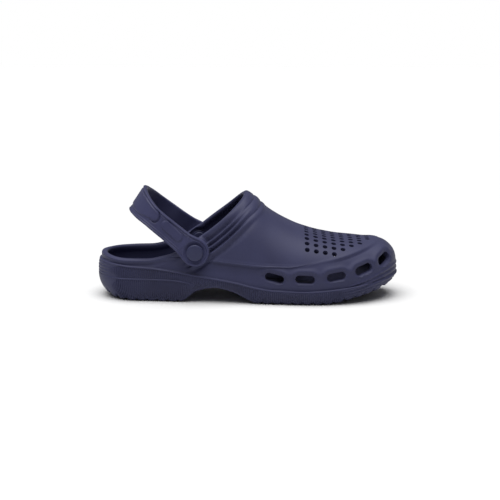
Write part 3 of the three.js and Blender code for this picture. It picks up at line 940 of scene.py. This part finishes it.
def strap_skin():
    """The strap's grid: each column runs over the outside, round the edge and over the inside."""
    soft = strap_line()
    at = lengths(soft)
    first_arm = len(soft) // 3
    zero = np.interp(0, soft[:first_arm, 0], at[:first_arm])
    total = at[-1] - 2 * zero

    def centre(u):
        return np.stack([np.interp(u + zero, at, soft[:, k]) for k in range(2)], -1)

    def outward(u):
        ahead = centre(u + 0.6) - centre(u - 0.6)
        ahead /= np.linalg.norm(ahead, axis=-1, keepdims=True)
        return np.stack([-ahead[..., 1], ahead[..., 0]], -1)

    arm_a = centre(np.linspace(0, total, ARM_COLUMNS + 1))[:, 0]
    rim, core = strap_rim(total, strap_upper(arm_a), strap_lower(arm_a))
    width = np.linalg.norm(rim - core, axis=1)
    halves = []
    for part, sign in (("outside", 1), ("inside", -1)):
        w = np.linspace(0, 1, STRAP_ROWS[part] + 1)
        w = (0.45 * w + 0.55 * w**2)[::-sign]
        flat = rim[:, None] + (core - rim)[:, None] * w[None, :, None]
        u, c = flat[..., 0], flat[..., 1]
        d = width[:, None] * w[None, :]
        inset = EDGE_ROUND - np.clip(d, 0, EDGE_ROUND)
        h = STRAP_THICK / 2 - EDGE_ROUND + np.sqrt(EDGE_ROUND**2 - inset**2)
        reach = np.minimum(u, total - u)
        if part == "outside":
            h = h + strap_relief(reach, c, d)
        down = strap_upper(centre(u)[..., 0]) - c
        tilted = ARM_TILT * down * ease(8, 30, reach) * (1 - ease(36, 72, reach))
        place = centre(u) + outward(u) * (sign * h + tilted)[..., None]
        slanted = place[..., 0] + BACK_SLANT * ease(12, 40, reach) * (c - 6)
        halves.append(np.stack([slanted, place[..., 1], c], -1))
    return np.concatenate(halves, 1)


def strap_to_world(points):
    """Raises the flat strap about the rivets."""
    raised = math.radians(STRAP_RAISED)
    basis = np.array(
        [[-math.cos(raised), 0, math.sin(raised)], [0, -1, 0], [math.sin(raised), 0, math.cos(raised)]]
    )
    return points @ basis + PIVOT


strap = wrapped_skin("strap", strap_to_world(strap_skin()))
cut(strap, joined([stem_pin(side, 38.0, 50.0) for side in (-1, 1)], "strap_holes"))
smooth(strap, 40)


# ---- Rivets and their sockets ----
# Each is drawn out ring by ring from one end to the other: (radius, distance out from the pivot).
RIVET = [
    (3.7, 30.95), (4.1, 31.4), (4.1, 46.6), (7.0, 46.6), (7.4, 46.8), (7.5, 47.2), (7.5, 48.4), (7.3, 48.9),
    (6.9, 49.2), (6.3, 49.35), (5.2, 49.45), (3.6, 49.52), (1.6, 49.56),
]
SOCKET = [
    (3.2, 30.7), (4.4, 30.7), (4.4, 33.5), (6.6, 33.5), (7.0, 33.2), (7.0, 32.4), (6.7, 32.1), (5.6, 32.1),
    (5.6, 29.9), (5.2, 29.5), (3.0, 29.4),
]


def turned_piece(name, side, rings):
    """A round piece on the hinge line."""
    select_nothing()
    radius, out = rings[0]
    way = Vector((0, side, 0))
    bpy.ops.mesh.primitive_circle_add(
        vertices=72,
        radius=radius * MM,
        fill_type="NGON",
        location=Vector(PIVOT) * MM + way * out * MM,
        rotation=(-side * math.pi / 2, 0, 0),
    )
    piece = bpy.context.object
    piece.name = name
    settle(piece)
    bpy.ops.object.mode_set(mode="EDIT")
    bpy.ops.mesh.select_all(action="SELECT")
    for next_radius, next_out in rings[1:]:
        scale = next_radius / radius
        step = way * (next_out - out) * MM
        middle = Vector(PIVOT) * MM + way * next_out * MM
        bpy.ops.mesh.extrude_region_move(TRANSFORM_OT_translate={"value": step})
        bpy.ops.transform.resize(value=(scale, scale, scale), center_override=middle)
        radius, out = next_radius, next_out
    bpy.ops.mesh.select_all(action="SELECT")
    bpy.ops.mesh.normals_make_consistent(inside=False)
    bpy.ops.object.mode_set(mode="OBJECT")
    smooth(piece, 32)
    return piece


round_pieces = {}
for side_name, side in (("outer", -1), ("inner", 1)):
    round_pieces[f"{side_name}_rivet"] = turned_piece(f"rivet_{side_name}", side, RIVET)
    round_pieces[f"{side_name}_rivet_socket"] = turned_piece(f"socket_{side_name}", side, SOCKET)


# ---- Finishes ----
CLOUD_SCALE, SPECK_SCALE = 38, 900
SPECK_TONE, SPECK_SKIN = 0.35, 0.5  # how far the specks show in the colour and in the skin
SKIN_STRENGTH, SKIN_DEPTH = 0.12, 0.0003


def noise(nodes, scale, detail):
    texture = nodes.new("ShaderNodeTexNoise")
    texture.inputs["Scale"].default_value = scale
    texture.inputs["Detail"].default_value = detail
    return texture


def plus_share(nodes, share_added):
    """A node that adds a share of its first input to its third."""
    node = nodes.new("ShaderNodeMath")
    node.operation = "MULTIPLY_ADD"
    node.inputs[1].default_value = share_added
    return node


def moulded(name, dark, light, roughness, grain, sheen):
    """Moulded rubber or plastic: slow clouds and fine specks in its colour, and a fine foam grain."""
    material = bpy.data.materials.new(name)
    material.use_nodes = True
    nodes, links = material.node_tree.nodes, material.node_tree.links
    shader = nodes["Principled BSDF"]
    place = nodes.new("ShaderNodeTexCoord")
    cloud, speck = noise(nodes, CLOUD_SCALE, 4), noise(nodes, SPECK_SCALE, 2)
    foam = nodes.new("ShaderNodeTexVoronoi")
    foam.inputs["Scale"].default_value = grain
    for texture in (cloud, speck, foam):
        links.new(place.outputs["Object"], texture.inputs["Vector"])
    # Colour.
    blend = plus_share(nodes, SPECK_TONE)
    tones = nodes.new("ShaderNodeValToRGB")
    tones.color_ramp.elements[0].position = 0.35
    tones.color_ramp.elements[0].color = (*dark, 1)
    tones.color_ramp.elements[1].position = 0.95
    tones.color_ramp.elements[1].color = (*light, 1)
    links.new(speck.outputs["Fac"], blend.inputs[0])
    links.new(cloud.outputs["Fac"], blend.inputs[2])
    links.new(blend.outputs["Value"], tones.inputs["Fac"])
    links.new(tones.outputs["Color"], shader.inputs["Base Color"])
    # Gloss.
    shine = nodes.new("ShaderNodeMapRange")
    shine.inputs["To Min"].default_value = roughness - 0.06
    shine.inputs["To Max"].default_value = roughness + 0.08
    links.new(cloud.outputs["Fac"], shine.inputs["Value"])
    links.new(shine.outputs["Result"], shader.inputs["Roughness"])
    shader.inputs["Sheen Weight"].default_value = sheen
    shader.inputs["Sheen Roughness"].default_value = 0.5
    shader.inputs["Specular IOR Level"].default_value = 0.3
    # Skin.
    fine = plus_share(nodes, SPECK_SKIN)
    skin = nodes.new("ShaderNodeBump")
    skin.inputs["Strength"].default_value = SKIN_STRENGTH
    skin.inputs["Distance"].default_value = SKIN_DEPTH
    links.new(speck.outputs["Fac"], fine.inputs[0])
    links.new(foam.outputs["Distance"], fine.inputs[2])
    links.new(fine.outputs["Value"], skin.inputs["Height"])
    links.new(skin.outputs["Normal"], shader.inputs["Normal"])
    return material


shell_rubber = moulded("shell_rubber", (0.022, 0.023, 0.062), (0.029, 0.031, 0.080), 0.6, 1400, 0.04)
strap_rubber = moulded("strap_rubber", (0.024, 0.025, 0.070), (0.031, 0.033, 0.090), 0.58, 1400, 0.04)
rivet_plastic = moulded("rivet_plastic", (0.019, 0.021, 0.058), (0.025, 0.028, 0.074), 0.5, 2200, 0.02)
washer_nylon = moulded("washer_nylon", (0.012, 0.014, 0.030), (0.018, 0.020, 0.042), 0.5, 2200, 0.0)


def finish(piece, material, body, slot, *nodes):
    """Gives a piece its material and body, and hides the CAD nodes that it stands for; the slot is not used.
    """
    piece.data.materials.clear()
    piece.data.materials.append(material)
    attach(piece, body)
    if nodes:
        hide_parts(*nodes)


finish(shell, shell_rubber, "clog", "shell_rubber", "clog_shell")
finish(band_ribs, shell_rubber, "clog", "shell_rubber")
finish(heel_ribs, shell_rubber, "clog", "shell_rubber")
for line in lines:
    finish(line, shell_rubber, "clog", "shell_rubber")
finish(strap, strap_rubber, "strap", "strap_rubber", "heel_strap")
for node, piece in round_pieces.items():
    finish(piece, rivet_plastic, "clog", "rivet_plastic", node)
for node in ("outer_pivot_washer", "inner_pivot_washer"):
    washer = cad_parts[node]
    for i in range(len(washer.material_slots)):
        washer.material_slots[i].material = washer_nylon

# ---- Floor, light and camera ----
FLOOR_GREY = 0.7
WORLD_GLOW = 0.15  # the light from all round, which the camera sees as white
TENT_POWER, TENT_SPREAD, TENT_FROM = 4.4, 62, (-0.08, -0.17, 1)  # one large soft light, nearly overhead
AZIMUTH, ELEVATION, DISTANCE = math.radians(0.7), math.radians(10.9), 1.133
TARGET = Vector((0.0026, 0.0025, 0.0424))

select_nothing()
bpy.ops.mesh.primitive_plane_add(size=12)
floor = bpy.context.object
floor.name = "floor"
paper = bpy.data.materials.new("floor_paper")
paper.use_nodes = True
paper.node_tree.nodes["Principled BSDF"].inputs["Base Color"].default_value = (*[FLOOR_GREY] * 3, 1)
paper.node_tree.nodes["Principled BSDF"].inputs["Roughness"].default_value = 0.75
floor.data.materials.append(paper)

world = bpy.data.worlds.new("studio")
bpy.context.scene.world = world
world.use_nodes = True
nodes, links = world.node_tree.nodes, world.node_tree.links
glow = nodes["Background"]
white = nodes.new("ShaderNodeBackground")
for sky, strength in ((glow, WORLD_GLOW), (white, 1.0)):
    sky.inputs["Color"].default_value = (1, 1, 1, 1)
    sky.inputs["Strength"].default_value = strength
seen = nodes.new("ShaderNodeLightPath")
either = nodes.new("ShaderNodeMixShader")
links.new(seen.outputs["Is Camera Ray"], either.inputs["Fac"])
links.new(glow.outputs["Background"], either.inputs[1])
links.new(white.outputs["Background"], either.inputs[2])
links.new(either.outputs["Shader"], nodes["World Output"].inputs["Surface"])
bpy.context.scene.view_settings.view_transform = "Standard"

tent = bpy.data.lights.new("tent", "SUN")
tent.energy = TENT_POWER
tent.angle = math.radians(TENT_SPREAD)
tent_lamp = bpy.data.objects.new("tent", tent)
tent_lamp.rotation_euler = Vector(TENT_FROM).to_track_quat("Z", "Y").to_euler()
bpy.context.scene.collection.objects.link(tent_lamp)

level = math.cos(ELEVATION)
back = Vector((math.sin(AZIMUTH) * level, -math.cos(AZIMUTH) * level, math.sin(ELEVATION)))
lens = bpy.data.cameras.new("camera")
lens.lens = 85
lens.sensor_width = 36
camera = bpy.data.objects.new("camera", lens)
camera.location = TARGET + back * DISTANCE
camera.rotation_euler = back.to_track_quat("Z", "Y").to_euler()
bpy.context.scene.collection.objects.link(camera)
bpy.context.scene.camera = camera
